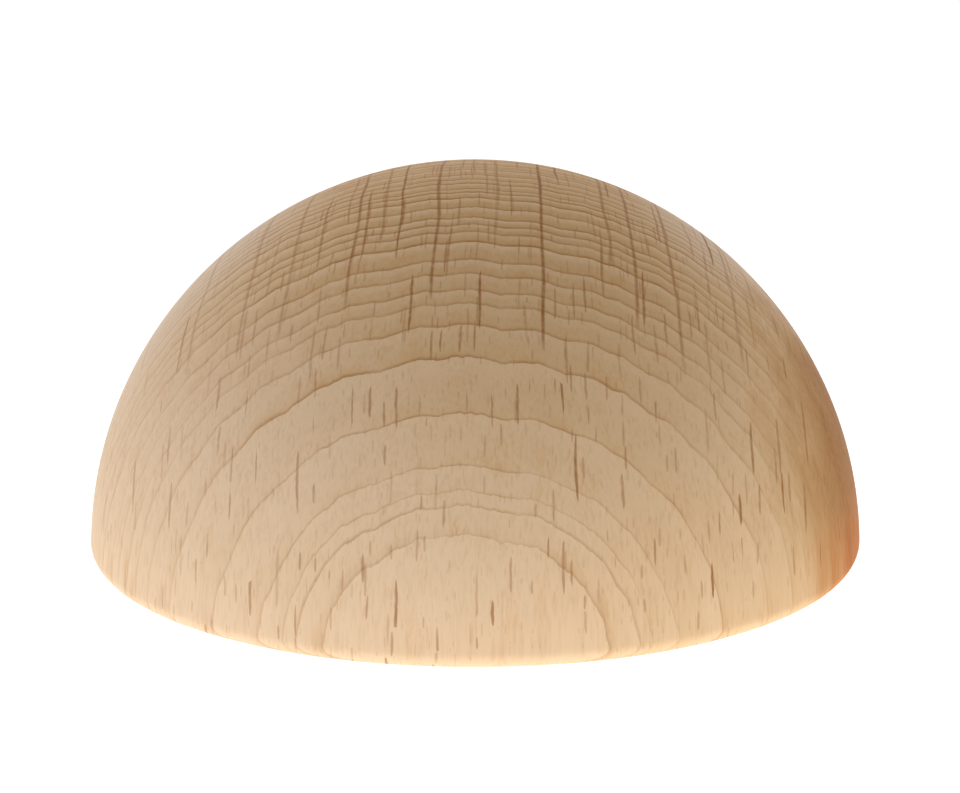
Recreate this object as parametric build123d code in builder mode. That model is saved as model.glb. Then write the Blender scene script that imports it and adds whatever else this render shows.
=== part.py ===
"""Wooden hemisphere: a solid beech half ball, turned on a lathe and cut flat at its equator.

The frame: origin at the centre of the flat face, +Z up through the crown, millimetres.
The wood fibres run along Z, the yearly rings are stacked along Y, and the rim is lightly sanded.
"""

import os
from math import sqrt

from build123d import *

# Driving dimensions, mm
BALL_DIAMETER = 50.0  # diameter that the ball was turned to
DOME_HEIGHT = 25.0  # from the flat face to the crown
RIM_ROUND = 1.0  # radius of the sanded edge between the flat face and the dome

# Worked out from the driving dimensions
ball_radius = BALL_DIAMETER / 2
ball_centre_z = DOME_HEIGHT - ball_radius
rim_radius = sqrt(ball_radius**2 - ball_centre_z**2)

# Corners of the half section, as (distance from the lathe axis, height)
flat_centre = (0, 0)
sharp_rim = (rim_radius, 0)
crown = (0, DOME_HEIGHT)

with BuildPart() as half_ball:
    # Half of the section: the flat, the rim that the saw left sharp, and the dome
    with BuildSketch(Plane.XZ) as half_section:
        with BuildLine():
            Line(flat_centre, sharp_rim)
            RadiusArc(sharp_rim, crown, radius=-ball_radius)
            Line(crown, flat_centre)
        make_face()

        # The rim is the corner furthest from the lathe axis, sanded round
        rim_corner = half_section.vertices().sort_by(Axis.X)[-1]
        fillet(rim_corner, radius=RIM_ROUND)

    # Turned about the lathe axis
    revolve(axis=Axis.Z)

half_ball.part.label = "half_ball"

os.makedirs("parts", exist_ok=True)
export_step(half_ball.part, "parts/half_ball.step")
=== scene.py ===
"""Wooden half ball: the turned beech mesh, its solid wood finish and a stage, as a Blender add-on.

The wood is one solid pattern through the whole block, in millimetres. Its fibres run along Z, its yearly
rings are cylinders about a far pith on the +Y side, and its rays are thin upright sheets that point at the
pith. The dome, the rim and the flat then show whatever part of that block they cut.
"""

import math
from itertools import chain, cycle

import bmesh
import bpy
import numpy as np
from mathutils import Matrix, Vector


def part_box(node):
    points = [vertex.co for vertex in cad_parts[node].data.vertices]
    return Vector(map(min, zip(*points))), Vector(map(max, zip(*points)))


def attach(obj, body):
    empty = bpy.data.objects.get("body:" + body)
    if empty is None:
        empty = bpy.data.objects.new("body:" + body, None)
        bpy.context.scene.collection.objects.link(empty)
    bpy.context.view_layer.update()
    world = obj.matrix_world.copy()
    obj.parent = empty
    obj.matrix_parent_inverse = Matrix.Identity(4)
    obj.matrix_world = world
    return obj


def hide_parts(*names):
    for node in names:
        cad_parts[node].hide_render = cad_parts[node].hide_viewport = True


bl_info = {
    "name": "Turned beech half ball",
    "version": (1, 0, 0),
    "blender": (4, 5, 0),
    "location": "View3D > Sidebar > Half Ball",
    "description": "Builds a turned beech half ball with solid wood grain, on a plain studio stage",
    "category": "Object",
}

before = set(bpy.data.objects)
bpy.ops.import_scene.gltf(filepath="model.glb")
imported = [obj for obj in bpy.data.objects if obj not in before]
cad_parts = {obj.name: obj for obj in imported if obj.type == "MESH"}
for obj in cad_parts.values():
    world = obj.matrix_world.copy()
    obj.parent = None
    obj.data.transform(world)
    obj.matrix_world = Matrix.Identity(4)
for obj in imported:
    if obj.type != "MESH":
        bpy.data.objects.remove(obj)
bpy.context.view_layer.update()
NODE = "half_ball"
BODY = "root"
MM = 0.001

LOWEST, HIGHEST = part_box(NODE)
DOME_HEIGHT = HIGHEST.z - LOWEST.z
BALL_RADIUS = DOME_HEIGHT

# Yearly rings from the bark side of the block inwards: width in mm, and how dark the line that ends it is.
# Past the last one the years come round again, without the first.
BARK_MARGIN = 2.0
YEARS = (
    (3.30, 0.70),
    (0.50, 0.75),
    (0.30, 0.45),
    (0.65, 0.75),
    (1.65, 0.90),
    (2.30, 1.00),
    (1.60, 0.70),
    (1.20, 0.50),
    (0.80, 0.65),
    (1.10, 0.60),
    (1.00, 0.70),
    (1.50, 1.00),
    (0.90, 0.60),
    (0.70, 0.75),
    (0.70, 0.95),
    (1.20, 0.80),
    (1.20, 1.00),
    (0.80, 0.90),
    (0.45, 0.70),
    (0.95, 0.85),
    (0.70, 0.70),
    (0.90, 0.80),
    (1.40, 0.70),
)

# Broad rays that reach down from the crown: mm to the +X side, how dark, and the height in mm of the
# lower end
CROWN_RAYS = (
    (-16.3, 0.55, 14.0),
    (-12.9, 0.60, 15.5),
    (-10.4, 0.55, 17.0),
    (-6.8, 0.70, 19.0),
    (-5.3, 0.60, 21.5),
    (-2.1, 0.85, 19.5),
    (1.3, 0.35, 22.5),
    (4.0, 1.00, 17.4),
    (7.9, 0.65, 20.5),
    (9.3, 0.75, 17.5),
    (11.6, 0.70, 15.5),
    (15.4, 0.45, 14.5),
)

# Rays by size, for Grain.rays
FINE_RAYS = {"cell": (0.36, 5, 0.9), "size": (0.045, 2.2, 0.38), "keep": 0.8, "fade": 0.8}
MIDDLING_RAYS = {"cell": (0.95, 12, 2.0), "size": (0.062, 5.0, 0.95), "keep": 0.8, "fade": 0.6}
BROAD_RAYS = {"cell": (2.3, 20, 4.0), "size": (0.078, 8.5, 1.85), "keep": 0.9, "fade": 0.5}

# Lumps of the wood's uneven colour, (tangent, radial, fibre) in mm
FLECK_LUMPS = (0.35, 0.35, 1.6)
STREAK_LUMPS = (0.16, 0.22, 3.2)
MOTTLE_LUMPS = (1.1, 1.3, 4.0)
CLOUD_LUMPS = (9, 5, 24)
CREEP_LUMPS = (1.6, 2.4, 12)
BLOTCH_LUMPS = (2.2, 2.0, 7)

# Red heart and painted shade on the +X side: the patch's middle and how far it reaches, in mm: to the +X
# side, in from the bark side, and up
HEART_AND_SHADE_MIDDLE = (26, 22, 4)
HEART_AND_SHADE_REACH = (16, 13, 15)

# The stage, in metres
TABLE_RADIUS = 2.5
KEY_LAMP_SIZE = 0.30
KEY_LAMP_PLACE = (-0.32, -0.30, 0.10)
KEY_LAMP_COLOUR = (1.0, 0.985, 0.96)


# ---------------------------------------------------------------- settings


class HalfBallShape(bpy.types.PropertyGroup):
    """The turned mesh and its slight unevenness"""

    ball_radius: bpy.props.FloatProperty(
        name="Ball radius", description="Radius of the turned dome", default=BALL_RADIUS, unit="LENGTH"
    )
    rim_round: bpy.props.FloatProperty(
        name="Rim round", description="Radius of the sanded rim", default=1.0 * MM, unit="LENGTH"
    )
    dome_cells: bpy.props.IntProperty(
        name="Dome cells", description="Faces along each side of the dome's square grid",
        default=272, min=32,
    )
    rim_steps: bpy.props.IntProperty(
        name="Rim steps", description="Rows of faces round the sanded rim", default=9, min=2
    )
    ring_relief: bpy.props.FloatProperty(
        name="Ring relief", description="How far late wood stands proud of early wood",
        default=0.007 * MM, unit="LENGTH",
    )
    hand_relief: bpy.props.FloatProperty(
        name="Sanding relief", description="How far the sanded dome strays from a true ball",
        default=0.035 * MM, unit="LENGTH",
    )


class HalfBallBeech(bpy.types.PropertyGroup):
    """The wood's colours and its place in the tree"""

    pale: bpy.props.FloatVectorProperty(
        name="Pale wood", description="Early wood between the ring lines",
        default=(0.680, 0.505, 0.345), subtype="COLOR", min=0, max=1,
    )
    tan: bpy.props.FloatVectorProperty(
        name="Tan wood", description="The warmer tone that drifts through the block",
        default=(0.600, 0.415, 0.242), subtype="COLOR", min=0, max=1,
    )
    warm: bpy.props.FloatVectorProperty(
        name="Warm wood", description="Soft orange patches between the fibres",
        default=(0.660, 0.385, 0.185), subtype="COLOR", min=0, max=1,
    )
    early: bpy.props.FloatVectorProperty(
        name="Early wood", description="The palest wood, just outside a ring edge",
        default=(0.780, 0.600, 0.410), subtype="COLOR", min=0, max=1,
    )
    # Painted sheen: a pale grey tone mixed into the upper side grain, standing in for the sheen along the
    # outline
    silver: bpy.props.FloatVectorProperty(
        name="Painted_sheen wood", description="Side grain past the middle of the block",
        default=(0.760, 0.670, 0.600), subtype="COLOR", min=0, max=1,
    )
    golden: bpy.props.FloatVectorProperty(
        name="Golden wood", description="Late wood and end grain",
        default=(0.480, 0.268, 0.095), subtype="COLOR", min=0, max=1,
    )
    late: bpy.props.FloatVectorProperty(
        name="Late wood", description="Ring lines",
        default=(0.290, 0.125, 0.035), subtype="COLOR", min=0, max=1,
    )
    ray: bpy.props.FloatVectorProperty(
        name="Ray flecks", description="Rays where they are cut across",
        default=(0.260, 0.100, 0.024), subtype="COLOR", min=0, max=1,
    )
    # Red heart colour, which also paints the shade low on the +X side
    heart_and_shade: bpy.props.FloatVectorProperty(
        name="Red heart", description="The reddish patch near the rim on the +X side",
        default=(0.385, 0.108, 0.014), subtype="COLOR", min=0, max=1,
    )
    pith_distance: bpy.props.FloatProperty(
        name="Pith distance", description="From the lathe axis to the middle of the tree",
        default=150 * MM, unit="LENGTH",
    )
    pith_side: bpy.props.FloatProperty(
        name="Pith side step", description="How far the pith lies to the +X side",
        default=3 * MM, unit="LENGTH",
    )


class HalfBallStudio(bpy.types.PropertyGroup):
    """Camera, lamps and floor"""

    camera_distance: bpy.props.FloatProperty(
        name="Camera distance", description="From the camera to the point that it is aimed at",
        default=8 * BALL_RADIUS, unit="LENGTH",
    )
    camera_elevation: bpy.props.FloatProperty(
        name="Camera elevation", description="Above the horizon",
        default=math.radians(14.83), subtype="ANGLE",
    )
    camera_lens: bpy.props.FloatProperty(
        name="Lens", description="Focal length on a 36 mm wide sensor, in mm", default=115.9
    )
    aim_height: bpy.props.FloatProperty(
        name="Aim height", description="Height of the point that the camera is aimed at",
        default=0.393 * BALL_RADIUS, unit="LENGTH",
    )
    aim_side: bpy.props.FloatProperty(
        name="Aim side step", description="How far that point lies to the +X side",
        default=0.0125 * BALL_RADIUS, unit="LENGTH",
    )
    horizon_light: bpy.props.FloatProperty(
        name="Horizon light", description="Strength of the room's light from low down", default=0.82
    )
    zenith_light: bpy.props.FloatProperty(
        name="Overhead light", description="Strength of the room's light from overhead", default=0.31
    )
    back_light: bpy.props.FloatProperty(
        name="Back light", description="Extra strength of the room's light from above and behind",
        default=1.45,
    )
    left_share: bpy.props.FloatProperty(
        name="Left share", description="How bright the room is on the left; 1 is as bright as the right",
        default=1.52,
    )
    table_glow: bpy.props.FloatProperty(
        name="Table glow", description="Light that the white table gives by itself", default=1.27
    )
    key_power: bpy.props.FloatProperty(
        name="Key lamp", description="Power of the wide lamp on the left, in watts", default=0.10
    )


SETTINGS = {
    "half_ball_shape": HalfBallShape,
    "half_ball_beech": HalfBallBeech,
    "half_ball_studio": HalfBallStudio,
}


# ---------------------------------------------------------------- node trees written as expressions


class Number:
    """A number that a node gives. Sums on it add Math nodes."""

    def __init__(self, nodes, socket):
        self.nodes = nodes
        self.socket = socket

    def sum_with(self, operation, *terms):
        inputs = dict(enumerate(terms))
        return self.nodes.add("ShaderNodeMath", {"operation": operation}, inputs).number(0)

    def __add__(self, other):
        return self.sum_with("ADD", self, other)

    def __radd__(self, other):
        return self.sum_with("ADD", other, self)

    def __sub__(self, other):
        return self.sum_with("SUBTRACT", self, other)

    def __rsub__(self, other):
        return self.sum_with("SUBTRACT", other, self)

    def __mul__(self, other):
        return self.sum_with("MULTIPLY", self, other)

    def __rmul__(self, other):
        return self.sum_with("MULTIPLY", other, self)

    def __truediv__(self, other):
        return self.sum_with("DIVIDE", self, other)

    def __rtruediv__(self, other):
        return self.sum_with("DIVIDE", other, self)

    def __pow__(self, other):
        return self.sum_with("POWER", self, other)

    def __abs__(self):
        return self.sum_with("ABSOLUTE", self)


class Added:
    """A node that was added, whose outputs are read by name or place."""

    def __init__(self, nodes, node):
        self.nodes = nodes
        self.node = node

    def socket(self, output):
        return self.node.outputs[output]

    def number(self, output):
        return Number(self.nodes, self.node.outputs[output])


class Nodes:
    """A shader or geometry tree that is written with one method for nodes and expressions for sums."""

    def __init__(self, tree):
        self.tree = tree
        tree.nodes.clear()

    def add(self, kind, settings=None, inputs=None):
        """Adds a node, sets its settings first, then gives its inputs their values or links."""
        node = self.tree.nodes.new(kind)
        for name, value in (settings or {}).items():
            if name == "curve":
                self.set_curve(node, value)
            else:
                setattr(node, name, value)
        for name, value in (inputs or {}).items():
            source = value.socket if isinstance(value, Number) else value
            if isinstance(source, bpy.types.NodeSocket):
                self.tree.links.new(source, node.inputs[name])
            else:
                node.inputs[name].default_value = source
        return Added(self, node)

    def set_curve(self, node, points):
        """Gives a Float Curve its points, joined by straight lines."""
        curve = node.mapping.curves[0]
        node.mapping.use_clip = False
        while len(curve.points) < len(points):
            curve.points.new(0.5, 0.5)
        for point, place in zip(curve.points, points):
            point.location = place
            point.handle_type = "VECTOR"
        node.mapping.update()

    def fraction(self, value):
        return value.sum_with("FRACT", value)

    def largest(self, first, second):
        return first.sum_with("MAXIMUM", first, second)

    def root(self, value):
        return value.sum_with("SQRT", value)

    def step(self, value, low, high, to_low=0.0, to_high=1.0):
        """A smooth step of value from low to high."""
        inputs = {"Value": value, "From Min": low, "From Max": high, "To Min": to_low, "To Max": to_high}
        return self.add("ShaderNodeMapRange", {"interpolation_type": "SMOOTHSTEP"}, inputs).number("Result")

    def point(self, x, y, z):
        return self.add("ShaderNodeCombineXYZ", None, {"X": x, "Y": y, "Z": z}).socket("Vector")

    def parts(self, vector):
        split = self.add("ShaderNodeSeparateXYZ", None, {"Vector": vector})
        return split.number("X"), split.number("Y"), split.number("Z")

    def scaled(self, vector, scale):
        inputs = {0: vector, "Scale": scale}
        return self.add("ShaderNodeVectorMath", {"operation": "SCALE"}, inputs).socket("Vector")

    def noise(self, place, detail=2.0, roughness=0.5):
        """Cloudy noise about 0, from -1 to 1, one lump for each unit of place."""
        inputs = {"Vector": place, "Scale": 1.0, "Detail": detail, "Roughness": roughness}
        level = self.add("ShaderNodeTexNoise", {"noise_dimensions": "3D"}, inputs).number("Fac")
        return (level - 0.5) * 2.0

    def mix(self, factor, first, second):
        """A colour between two colours."""
        inputs = {"Factor": factor, 6: first, 7: second}
        return self.add("ShaderNodeMix", {"data_type": "RGBA"}, inputs).socket(2)


def linear_colour(colour):
    return (*colour, 1.0)


def grey(level):
    return (level, level, level, 1.0)


# ---------------------------------------------------------------- the wood, as one solid pattern


class Grain:
    """The block of beech: where a point lies in the tree, and what the wood is like there."""

    def __init__(self, nodes, position, beech):
        self.nodes = nodes
        x, y, z = nodes.parts(nodes.scaled(position, 1 / MM))
        pith_x = beech.pith_side / MM
        pith_y = beech.pith_distance / MM
        wander = nodes.noise(nodes.point(x / 14, y / 14, z / 22), detail=1.0)
        across = x - pith_x + wander * 0.35
        inwards = pith_y - y
        radius = nodes.root(across * across + inwards * inwards)
        self.tangent = across / inwards * pith_y + pith_x
        self.depth = pith_y + BALL_RADIUS / MM - radius
        self.fibre = z
        self.side = x
        sway = nodes.noise(self.at(2.6, 6, 5), detail=1.0) * 0.20
        self.swayed = self.tangent + sway
        self.wobble = nodes.noise(self.at(0.5, 0.6, 0.4), detail=1.0) * 0.45

    def at(self, tangent, radial, fibre):
        """A point for a texture whose lumps have these sizes in mm, along the three ways of the wood."""
        return self.nodes.point(self.tangent / tangent, self.depth / radial, self.fibre / fibre)

    def years(self):
        """Points of the ring curve, (depth, ring count), and of the strength curve, both from 0 to 1."""
        block = 2 * BALL_RADIUS / MM + 2 * BARK_MARGIN
        depth, count = 0.0, 0
        edges, strengths = [(0.0, 0)], [(0.0, YEARS[0][1])]
        for width, strength in chain(YEARS, cycle(YEARS[1:])):
            depth += width
            count += 1
            if depth >= block:
                break
            edges.append((depth, count))
            strengths.append((depth, strength))
        rings = [(place / block, number / count) for place, number in edges]
        levels = [(place / block, level) for place, level in strengths]
        return block, count, rings, levels

    def rings(self):
        """The share of each year passed inwards from its dark edge, the way from that edge in mm, and
        the year's strength."""
        nodes = self.nodes
        block, count, rings, levels = self.years()
        broad = nodes.noise(self.at(9, 30, 26), detail=1.0) * 0.22
        ragged = nodes.noise(self.at(0.55, 6, 4), detail=2.0, roughness=0.6) * 0.085

        # Between broad rays a ring runs straight, and it kinks at each one
        settings = {"feature": "F1", "voronoi_dimensions": "1D"}
        facets = nodes.add("ShaderNodeTexVoronoi", settings, {"W": self.swayed / 2.3 + 4.0, "Scale": 1.0})
        kinks = facets.number("Distance") * nodes.step(self.depth, 0.5, 9.0, 0.10, 0.36)
        depth = self.depth + broad + kinks + ragged + BARK_MARGIN - 0.05

        def passed(place):
            inputs = {"Value": place / block}
            return nodes.add("ShaderNodeFloatCurve", {"curve": rings}, inputs).number("Value") * count

        reach = 0.1
        here = passed(depth)
        width = reach / nodes.largest(passed(depth + reach) - here, 0.02)
        share = nodes.fraction(here)
        inputs = {"Value": depth / block}
        strength = nodes.add("ShaderNodeFloatCurve", {"curve": levels}, inputs).number("Value")
        return share, share * width, strength

    def rays(self, cell, size, keep, fade):
        """Rays, as thin sheets one to a cell: 0 between them, up to 1 in the middle of one.

        cell and size are (tangent, radial, fibre) in mm, size is half of a full-grown ray, keep is the
        share of cells that hold one, and fade is how soft its edge is."""
        nodes = self.nodes
        place = nodes.point(self.swayed / cell[0], self.depth / cell[1], self.fibre / cell[2])
        inputs = {"Vector": place, "Scale": 1.0, "Randomness": 1.0}
        found = nodes.add("ShaderNodeTexVoronoi", {"feature": "F1"}, inputs)
        luck, growth, tone = nodes.parts(found.socket("Color"))
        away = nodes.add(
            "ShaderNodeVectorMath", {"operation": "SUBTRACT"}, {0: place, 1: found.socket("Position")}
        ).socket("Vector")
        off = [part * (edge / half) for part, edge, half in zip(nodes.parts(away), cell, size)]
        grown = 0.4 + growth * 0.8
        reach = (off[1] * off[1] + off[2] * off[2]) / (grown * grown)
        thickness = nodes.largest(1 - reach * reach, 0.0)
        sideways = abs(off[0] + self.wobble) / nodes.largest(thickness, 0.02)
        sheet = 1 - nodes.step(sideways, 1 - fade, 1 + fade)
        there = nodes.step(thickness, 0.0, 0.5) * nodes.step(luck, 1 - keep, 1 - keep + 0.02)
        return sheet * there * (0.35 + tone * 0.65)

    def crown_rays(self):
        """The listed broad rays, with breaks along their height and depth."""
        nodes = self.nodes
        patchy = nodes.noise(self.at(8, 5, 2.2), detail=2.0)
        found = None
        for side, strength, lowest in CROWN_RAYS:
            sheet = 1 - nodes.step(abs(self.swayed - side), 0.03, 0.15)
            ray = sheet * nodes.step(self.fibre + patchy * 1.2, lowest, lowest + 1.0) * strength
            found = ray if found is None else nodes.largest(found, ray)
        return found * nodes.step(patchy, -0.9, -0.2, 0.45, 1.0)


class BeechColour:
    """The colour of raw, fine-sanded beech, laid down in layers over one block of grain."""

    def __init__(self, nodes, beech):
        coordinates = nodes.add("ShaderNodeTexCoord")
        self.nodes = nodes
        self.beech = beech
        self.grain = Grain(nodes, coordinates.socket("Object"), beech)
        self.share, self.edge, self.strength = self.grain.rings()
        self.fleck = nodes.noise(self.grain.at(*FLECK_LUMPS), detail=1.0)
        self.streak = nodes.noise(self.grain.at(*STREAK_LUMPS), detail=2.0, roughness=0.6)
        self.mottle = nodes.noise(self.grain.at(*MOTTLE_LUMPS), detail=2.0)
        self.cloud = nodes.noise(self.grain.at(*CLOUD_LUMPS), detail=2.0)

        # How far the surface is cut across the fibres, along the rays and along the rings, from 0 to 1.
        # The rounded rim counts as end grain only close to the flat.
        to_side, to_bark, to_end = nodes.parts(coordinates.socket("Normal"))
        self.end = nodes.step(to_end, 0.40, 1.0) + nodes.step(to_end, -0.80, -1.0)
        # This sideways mask only places the painted sheen
        self.painted_sheen_flank = nodes.step(abs(to_side), 0.30, 0.62)
        self.quarter = nodes.step(abs(to_side), 0.30, 0.90)
        self.plain = nodes.step(abs(to_bark), 0.45, 1.0)
        self.colour = None

    def tint(self, factor, colour):
        """Mixes a colour into the wood: a socket, or the name of one of the beech's own colours."""
        if isinstance(colour, str):
            colour = linear_colour(getattr(self.beech, colour))
        self.colour = self.nodes.mix(factor, self.colour, colour)

    def ground_tone(self):
        """The tone that drifts from pinkish pale on the -X side to yellowish tan on the +X side."""
        step = self.nodes.step
        drift = step(self.cloud * 0.5 + self.grain.side / 22, -0.9, 0.9)
        self.colour = self.nodes.mix(drift, linear_colour(self.beech.pale), linear_colour(self.beech.tan))
        self.tint(step(self.mottle, 0.0, 1.0, 0.0, 0.45), "warm")
        self.tint(step(self.streak + self.mottle * 0.4, -0.3, 1.4, 0.0, 0.42), "late")
        self.tint(self.end * (0.54 + self.fleck * 0.26), "golden")

    def early_wood(self):
        """Early wood, palest just outside a ring edge."""
        early = self.nodes.step(self.share, 0.45, 1.0) * self.strength
        self.tint(early * (0.12 + self.end * 0.24), "early")

    def painted_sheen_sides(self):
        """Painted sheen: pale grey on the side grain past the middle of the block, away from the rim."""
        step = self.nodes.step
        inner = step(self.grain.depth + self.cloud * 3, 15, 26)
        high = step(self.grain.fibre + self.mottle * 2, 4, 15)
        self.tint(self.painted_sheen_flank * inner * high * 0.42, "silver")

    def red_heart_and_painted_shade(self):
        """Red heart and painted shade near the rim on the +X side, redder low down, with a ragged edge that
        runs along the fibres.
        """
        nodes, grain = self.nodes, self.grain
        creep = nodes.noise(grain.at(*CREEP_LUMPS), detail=2.0, roughness=0.6)
        places = (grain.side, grain.depth, grain.fibre)
        out, inward, up = [
            (place - middle) / reach for place, middle, reach in zip(places, HEART_AND_SHADE_MIDDLE, HEART_AND_SHADE_REACH)
        ]
        away = nodes.root(out * out + inward * inward + up * up) + creep * 0.26 + self.cloud * 0.12
        low = nodes.step(grain.fibre + creep, 6.5, 1.0)
        heart_and_shade = nodes.mix(low, linear_colour(self.beech.late), linear_colour(self.beech.heart_and_shade))
        # Painted shade on the +X side with the red heart: a wide darkening to golden wood, then the heart
        # colour
        self.tint(nodes.step(away, 1.35, 0.65, 0.0, 0.72), "golden")
        self.tint(nodes.step(away, 1.18, 0.42) * (0.88 + self.streak * 0.35), heart_and_shade)

    def late_wood(self):
        """Late wood that darkens towards a ring edge, a band that seeps from the edge, and its line.

        All three are fainter on a quarter cut, and the line is thinner where the cut runs along a ring."""
        step, strength = self.nodes.step, self.strength
        blotch = self.nodes.noise(self.grain.at(*BLOTCH_LUMPS), detail=2.0)
        shown = 1 - self.quarter * 0.68
        late = step(1 - self.share, 0.25, 1.0) * strength
        seep = step(1 - self.share, 0.66, 1.0) * strength * step(blotch + self.cloud * 0.5, -0.3, 0.7)
        thin = 1 - self.plain * 0.66
        line = (1 - step(self.edge / thin + self.fleck * 0.05, 0.02, 0.25)) * strength
        line = line * step(blotch + self.fleck * 0.5, -0.9, 0.6, 0.22, 1.0)
        self.tint(late * (0.12 + self.end * 0.34) * (1 - self.plain * 0.5) * shown, "golden")
        self.tint(seep * 0.42 * shown, "golden")
        self.tint(line * (0.56 + self.end * 0.40) * shown, "late")

    def rays(self):
        """Rays of three sizes, fainter on the -X side. Gives back the broad ones."""
        step, grain = self.nodes.step, self.grain
        fine = grain.rays(**FINE_RAYS)
        middling = grain.rays(**MIDDLING_RAYS)
        broad = self.nodes.largest(grain.rays(**BROAD_RAYS), grain.crown_rays())
        uneven = step(self.fleck, -0.8, 0.5, 0.55, 1.0)
        calm = step(grain.side, -22, -3, 0.55, 1.0)
        self.tint(fine * (0.20 + self.end * 0.25) * calm, "ray")
        self.tint(middling * 0.62 * uneven * calm, "ray")
        self.tint(broad * 0.90 * uneven * calm, "ray")
        return broad


def beech_material(beech):
    """Raw, fine-sanded beech, for every cut through the block."""
    material = bpy.data.materials.new("raw_beech")
    material.use_nodes = True
    nodes = Nodes(material.node_tree)
    wood = BeechColour(nodes, beech)
    wood.ground_tone()
    wood.early_wood()
    # Painted sheen on the upper side grain
    wood.painted_sheen_sides()
    # Red heart, which also paints the shade on the +X side
    wood.red_heart_and_painted_shade()
    wood.late_wood()
    broad = wood.rays()

    # Sanding leaves a faint nap of raised fibres, and the broad rays are a little smoother
    nap = wood.streak * 0.4 + wood.fleck * 0.5
    bump = nodes.add("ShaderNodeBump", None, {"Height": nap, "Strength": 0.35, "Distance": 0.02 * MM})
    shader = nodes.add(
        "ShaderNodeBsdfPrincipled",
        None,
        {
            "Base Color": wood.colour,
            "Roughness": 0.78 - broad * 0.10,
            "Normal": bump.socket("Normal"),
            "Specular IOR Level": 0.05,
            "Sheen Weight": 0.05,
            "Sheen Roughness": 0.32,
        },
    )
    nodes.add("ShaderNodeOutputMaterial", None, {"Surface": shader.socket("BSDF")})
    return material


# ---------------------------------------------------------------- the turned mesh


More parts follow.
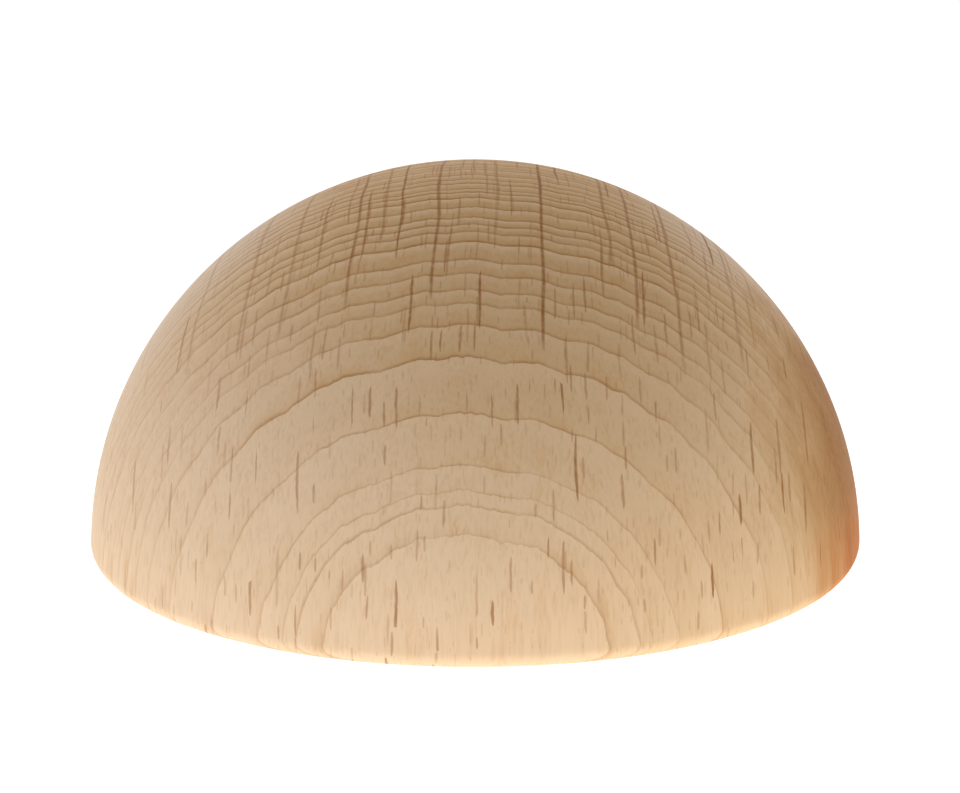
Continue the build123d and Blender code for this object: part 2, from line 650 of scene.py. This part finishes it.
class TurnedMesh:
    """The half ball as one closed mesh: a square grid drawn over the dome, rows round the rim, a flat."""

    UV_MAP = "OFBake"
    DOME_SHARE = 0.70  # of the map's width, for the dome and the rim
    MAP_GAP = 0.01  # between them and the flat
    MIDDLE_CORNERS = 16  # the flat's rings stop halving at this few corners, or at an odd number
    RING_WIDTH = 1.2  # of a ring of the flat, in widths of its faces
    LEAST_SHRINK = 0.35  # of such a ring's radius

    def __init__(self, shape):
        self.cells = shape.dome_cells
        self.radius = shape.ball_radius
        self.round = shape.rim_round
        self.steps = shape.rim_steps
        self.flat_radius = math.sqrt((self.radius - self.round) ** 2 - self.round**2)
        self.meeting = math.asin(self.round / (self.radius - self.round))
        self.mesh = bmesh.new()
        self.uv = {}

    @staticmethod
    def disc_place(a, b):
        """Where a point of the square from -1 to 1 lands on the round disc: (distance, angle)."""
        if abs(a) < 1e-12 and abs(b) < 1e-12:
            return 0.0, 0.0
        if abs(a) >= abs(b):
            reach, turn = a, math.pi / 4 * b / a
        else:
            reach, turn = b, math.pi / 2 - math.pi / 4 * a / b
        return abs(reach), turn + (math.pi if reach < 0 else 0.0)

    def vertex(self, turn, out, height, square):
        made = self.mesh.verts.new((out * math.cos(turn), out * math.sin(turn), height))
        self.uv[made] = square
        return made

    def dome(self):
        """The grid over the dome, and its edge in order round the rim."""
        cells = self.cells
        depth = 1 - math.sin(self.meeting)
        grid = []
        for row in range(cells + 1):
            line = []
            for column in range(cells + 1):
                a, b = 2 * column / cells - 1, 2 * row / cells - 1
                distance, turn = self.disc_place(a, b)
                from_crown = math.acos(1 - distance**2 * depth)
                out, height = self.radius * math.sin(from_crown), self.radius * math.cos(from_crown)
                line.append(self.vertex(turn, out, height, (a, b)))
            grid.append(line)
        for row in range(cells):
            for column in range(cells):
                corners = (grid[row][column], grid[row][column + 1])
                corners += (grid[row + 1][column + 1], grid[row + 1][column])
                self.mesh.faces.new(corners)
        edge = grid[0][:-1]
        edge += [line[-1] for line in grid[:-1]]
        edge += grid[-1][:0:-1]
        edge += [line[0] for line in grid[:0:-1]]
        return edge

    def rim(self, edge):
        """Rows of faces down the rounded rim to the flat."""
        squares = [self.uv[v] for v in edge]
        turns = [self.disc_place(*square)[1] for square in squares]
        spread = self.round / self.radius
        for step in range(1, self.steps + 1):
            done = step / self.steps
            angle = self.meeting + (-math.pi / 2 - self.meeting) * done
            out = self.flat_radius + self.round * math.cos(angle)
            height = self.round + self.round * math.sin(angle)
            if step == self.steps:
                height = 0.0
            wider = 1 + spread * done
            row = [
                self.vertex(turn, out, height, (a * wider, b * wider))
                for turn, (a, b) in zip(turns, squares)
            ]
            self.bridge(edge, row)
            edge = row
        return edge, turns, squares

    def bridge(self, upper, lower):
        for here in range(len(upper)):
            after = (here + 1) % len(upper)
            self.mesh.faces.new((upper[here], lower[here], lower[after], upper[after]))

    def flat(self, edge, turns, squares):
        """The flat, as rings that halve their points as they shrink, down to one middle face."""
        out = self.flat_radius
        width = 2 * math.pi * out / len(edge)
        while len(edge) % 2 == 0 and len(edge) > self.MIDDLE_CORNERS:
            turns, squares = turns[::2], squares[::2]
            width *= 2
            out = max(out - self.RING_WIDTH * width, self.LEAST_SHRINK * out)
            share = out / self.flat_radius
            row = [
                self.vertex(turn, out, 0.0, (a * share, b * share))
                for turn, (a, b) in zip(turns, squares)
            ]
            for here in range(len(row)):
                after = (here + 1) % len(row)
                outer = (edge[2 * here], edge[2 * here + 1], edge[(2 * here + 2) % len(edge)])
                self.mesh.faces.new((*outer[::-1], row[here], row[after])[::-1])
            edge = row
        self.mesh.faces.new(edge[::-1])

    def map_faces(self, dome_faces):
        """Lays the dome and rim out as one square of the map, and the flat as a smaller one beside it."""
        layer = self.mesh.loops.layers.uv.new(self.UV_MAP)
        wide = 1 + self.round / self.radius
        small = 1 - self.DOME_SHARE - self.MAP_GAP
        for number, face in enumerate(self.mesh.faces):
            on_dome = number < dome_faces
            for loop in face.loops:
                a, b = self.uv[loop.vert]
                if on_dome:
                    place = ((a / wide + 1) / 2 * self.DOME_SHARE, (b / wide + 1) / 2 * self.DOME_SHARE)
                else:
                    share = wide if abs(max(abs(a), abs(b)) - wide) < 1e-6 else 1.0
                    a, b = a / share, b / share
                    place = (self.DOME_SHARE + self.MAP_GAP / 2 + (1 - a) / 2 * small, (b + 1) / 2 * small)
                loop[layer].uv = place

    def build(self, name):
        edge = self.dome()
        edge, turns, squares = self.rim(edge)
        dome_faces = len(self.mesh.faces)
        self.flat(edge, turns, squares)
        self.map_faces(dome_faces)
        bmesh.ops.recalc_face_normals(self.mesh, faces=self.mesh.faces[:])
        data = bpy.data.meshes.new(name)
        self.mesh.to_mesh(data)
        self.mesh.free()
        data.polygons.foreach_set("use_smooth", np.ones(len(data.polygons), bool))
        return data


def relief_tree(shape, beech):
    """A node group that moves the dome in and out by the wood's own rings and by uneven sanding."""
    tree = bpy.data.node_groups.new("turned_relief", "GeometryNodeTree")
    tree.interface.new_socket("Geometry", in_out="INPUT", socket_type="NodeSocketGeometry")
    tree.interface.new_socket("Geometry", in_out="OUTPUT", socket_type="NodeSocketGeometry")
    nodes = Nodes(tree)
    start = nodes.add("NodeGroupInput")
    position = nodes.add("GeometryNodeInputPosition").socket("Position")
    normal = nodes.add("GeometryNodeInputNormal").socket("Normal")
    grain = Grain(nodes, position, beech)
    share, _, strength = grain.rings()
    ridge = ((1 - share) ** 2) * nodes.step(share, 0.0, 0.12) * strength
    sanding = nodes.noise(nodes.scaled(position, 1 / (16 * MM)), detail=1.0)
    above_rim = nodes.step(nodes.parts(position)[2], 0.2 * MM, 2.0 * MM)
    rise = (ridge * shape.ring_relief + sanding * shape.hand_relief - shape.hand_relief * 0.6) * above_rim
    moved = nodes.add(
        "GeometryNodeSetPosition",
        None,
        {"Geometry": start.socket("Geometry"), "Offset": nodes.scaled(normal, rise)},
    )
    nodes.add("NodeGroupOutput", None, {"Geometry": moved.socket("Geometry")})
    return tree


def turned_object(shape, beech):
    """The finished piece: the turned mesh, moved by its relief, with the relief made part of the mesh."""
    rough = bpy.data.objects.new("turned_blank", TurnedMesh(shape).build("turned_blank"))
    bpy.context.scene.collection.objects.link(rough)
    modifier = rough.modifiers.new("relief", "NODES")
    modifier.node_group = relief_tree(shape, beech)
    graph = bpy.context.evaluated_depsgraph_get()
    data = bpy.data.meshes.new_from_object(rough.evaluated_get(graph))
    data.name = "turned_half_ball"
    bpy.data.objects.remove(rough)
    piece = bpy.data.objects.new("turned_half_ball", data)
    bpy.context.scene.collection.objects.link(piece)
    return piece


class HALFBALL_OT_turn(bpy.types.Operator):
    """Turn the half ball and give it its beech finish"""

    bl_idname = "half_ball.turn"
    bl_label = "Turn the Half Ball"

    def execute(self, context):
        scene = context.scene
        piece = turned_object(scene.half_ball_shape, scene.half_ball_beech)
        piece.data.materials.clear()
        piece.data.materials.append(beech_material(scene.half_ball_beech))
        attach(piece, BODY)
        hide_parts(NODE)
        return {"FINISHED"}


# ---------------------------------------------------------------- the stage


def table_material(glow):
    """A one-sided white table that reads white to the camera and keeps the object's shadow."""
    material = bpy.data.materials.new("white_table")
    material.use_nodes = True
    nodes = Nodes(material.node_tree)
    path = nodes.add("ShaderNodeLightPath")
    place = nodes.add("ShaderNodeTexCoord").socket("Object")

    # It glows faintly under the object and brightly round it, most of all on the +X side
    from_axis = nodes.add("ShaderNodeVectorMath", {"operation": "LENGTH"}, {0: place}).number("Value")
    around = nodes.step(from_axis, 0.90 * BALL_RADIUS, 1.02 * BALL_RADIUS)
    side = nodes.parts(place)[0]
    beyond = nodes.step(side, -BALL_RADIUS, BALL_RADIUS)
    outer = nodes.mix(beyond, grey(0.88), grey(1.2))
    fading = nodes.scaled(outer, nodes.step(from_axis, 1.1 * BALL_RADIUS, 2.6 * BALL_RADIUS, 1.22, 0.74))
    shine = nodes.mix(around, grey(0.42), fading)
    lit = nodes.add(
        "ShaderNodeBsdfPrincipled",
        None,
        {
            "Base Color": grey(0.80),
            "Roughness": 0.9,
            "Specular IOR Level": 0.0,
            "Emission Color": shine,
            "Emission Strength": glow,
        },
    )

    # The camera sees it nearly as plain white
    white = nodes.add("ShaderNodeEmission", None, {"Color": grey(1.0), "Strength": 1.0})
    seen = nodes.largest(path.number("Is Camera Ray"), path.number("Is Glossy Ray"))
    shown = nodes.add(
        "ShaderNodeMixShader", None, {0: seen * 0.82, 1: lit.socket("BSDF"), 2: white.socket("Emission")}
    )

    # From below, the table is not there, so that the flat that stands on it can be seen
    underneath = nodes.add("ShaderNodeNewGeometry").number("Backfacing")
    clear = nodes.add("ShaderNodeBsdfTransparent", None, {"Color": grey(1.0)})
    one_sided = nodes.add(
        "ShaderNodeMixShader", None, {0: underneath, 1: shown.socket("Shader"), 2: clear.socket("BSDF")}
    )
    nodes.add("ShaderNodeOutputMaterial", None, {"Surface": one_sided.socket("Shader")})
    return material


def room_light(studio):
    """A room that is lighter low down, on the left and high behind, and plain white to the camera."""
    world = bpy.data.worlds.new("white_room")
    world.use_nodes = True
    nodes = Nodes(world.node_tree)
    path = nodes.add("ShaderNodeLightPath")
    side, back, height = nodes.parts(nodes.add("ShaderNodeTexCoord").socket("Generated"))
    around = nodes.step(side, -0.95, 0.95, studio.left_share, 2 - studio.left_share) * studio.horizon_light
    level = nodes.step(height, 0.0, 0.80, around, studio.zenith_light)
    behind = nodes.step(back * 0.78 + height * 0.61 + side * 0.12, 0.62, 0.96)
    level = level + behind * studio.back_light
    light = nodes.add("ShaderNodeBackground", None, {"Color": grey(1.0), "Strength": level})
    white = nodes.add("ShaderNodeBackground", None, {"Color": grey(1.0), "Strength": 1.0})
    seen = nodes.largest(
        nodes.largest(path.number("Is Camera Ray"), path.number("Is Glossy Ray")),
        path.number("Is Transmission Ray"),
    )
    shown = nodes.add(
        "ShaderNodeMixShader", None, {0: seen, 1: light.socket("Background"), 2: white.socket("Background")}
    )
    nodes.add("ShaderNodeOutputWorld", None, {"Surface": shown.socket("Shader")})
    return world


def place_lamp(name, power, size, place, aim, colour):
    """A square soft lamp that faces its aim."""
    lamp = bpy.data.lights.new(name, "AREA")
    lamp.energy = power
    lamp.size = size
    lamp.color = colour
    holder = bpy.data.objects.new(name, lamp)
    holder.location = place
    holder.rotation_euler = (Vector(aim) - Vector(place)).to_track_quat("-Z", "Y").to_euler()
    bpy.context.scene.collection.objects.link(holder)


def place_camera(studio):
    """The camera, low in front of the object."""
    camera = bpy.data.cameras.new("camera")
    camera.sensor_width = 36.0
    camera.lens = studio.camera_lens
    camera.clip_start = 0.01
    camera.clip_end = 20.0
    aim = Vector((studio.aim_side, 0.0, studio.aim_height))
    back = Vector((0.0, -math.cos(studio.camera_elevation), math.sin(studio.camera_elevation)))
    holder = bpy.data.objects.new("camera", camera)
    holder.location = aim + back * studio.camera_distance
    holder.rotation_euler = (-back).to_track_quat("-Z", "Y").to_euler()
    bpy.context.scene.collection.objects.link(holder)
    bpy.context.scene.camera = holder


class HALFBALL_OT_stage(bpy.types.Operator):
    """Set the table, the room light, the lamps and the camera"""

    bl_idname = "half_ball.stage"
    bl_label = "Set the Stage"

    def execute(self, context):
        scene = context.scene
        studio = scene.half_ball_studio
        place_camera(studio)
        table = bmesh.new()
        bmesh.ops.create_circle(table, cap_ends=True, segments=96, radius=TABLE_RADIUS)
        data = bpy.data.meshes.new("table")
        table.to_mesh(data)
        table.free()
        floor = bpy.data.objects.new("table", data)
        floor.location.z = LOWEST.z
        data.materials.append(table_material(studio.table_glow))
        scene.collection.objects.link(floor)
        scene.world = room_light(studio)
        middle = (0.0, 0.0, 0.4 * BALL_RADIUS)
        place_lamp("key_lamp", studio.key_power, KEY_LAMP_SIZE, KEY_LAMP_PLACE, middle, KEY_LAMP_COLOUR)
        scene.view_settings.view_transform = "Standard"
        return {"FINISHED"}


class HALFBALL_PT_panel(bpy.types.Panel):
    """The half ball's tools and sizes"""

    bl_label = "Half Ball"
    bl_idname = "HALFBALL_PT_panel"
    bl_space_type = "VIEW_3D"
    bl_region_type = "UI"
    bl_category = "Half Ball"

    def draw(self, context):
        for operator in OPERATORS:
            self.layout.operator(operator.bl_idname)
        for name, group in SETTINGS.items():
            box = self.layout.box()
            box.label(text=group.__doc__)
            for setting in group.__annotations__:
                box.prop(getattr(context.scene, name), setting)


OPERATORS = (HALFBALL_OT_turn, HALFBALL_OT_stage)
CLASSES = (*SETTINGS.values(), *OPERATORS, HALFBALL_PT_panel)


def register():
    for each in CLASSES:
        bpy.utils.register_class(each)
    for name, group in SETTINGS.items():
        setattr(bpy.types.Scene, name, bpy.props.PointerProperty(type=group))


def unregister():
    for name in SETTINGS:
        delattr(bpy.types.Scene, name)
    for each in reversed(CLASSES):
        bpy.utils.unregister_class(each)


def main():
    register()
    bpy.ops.half_ball.turn()
    bpy.ops.half_ball.stage()


if __name__ == "__main__":
    main()
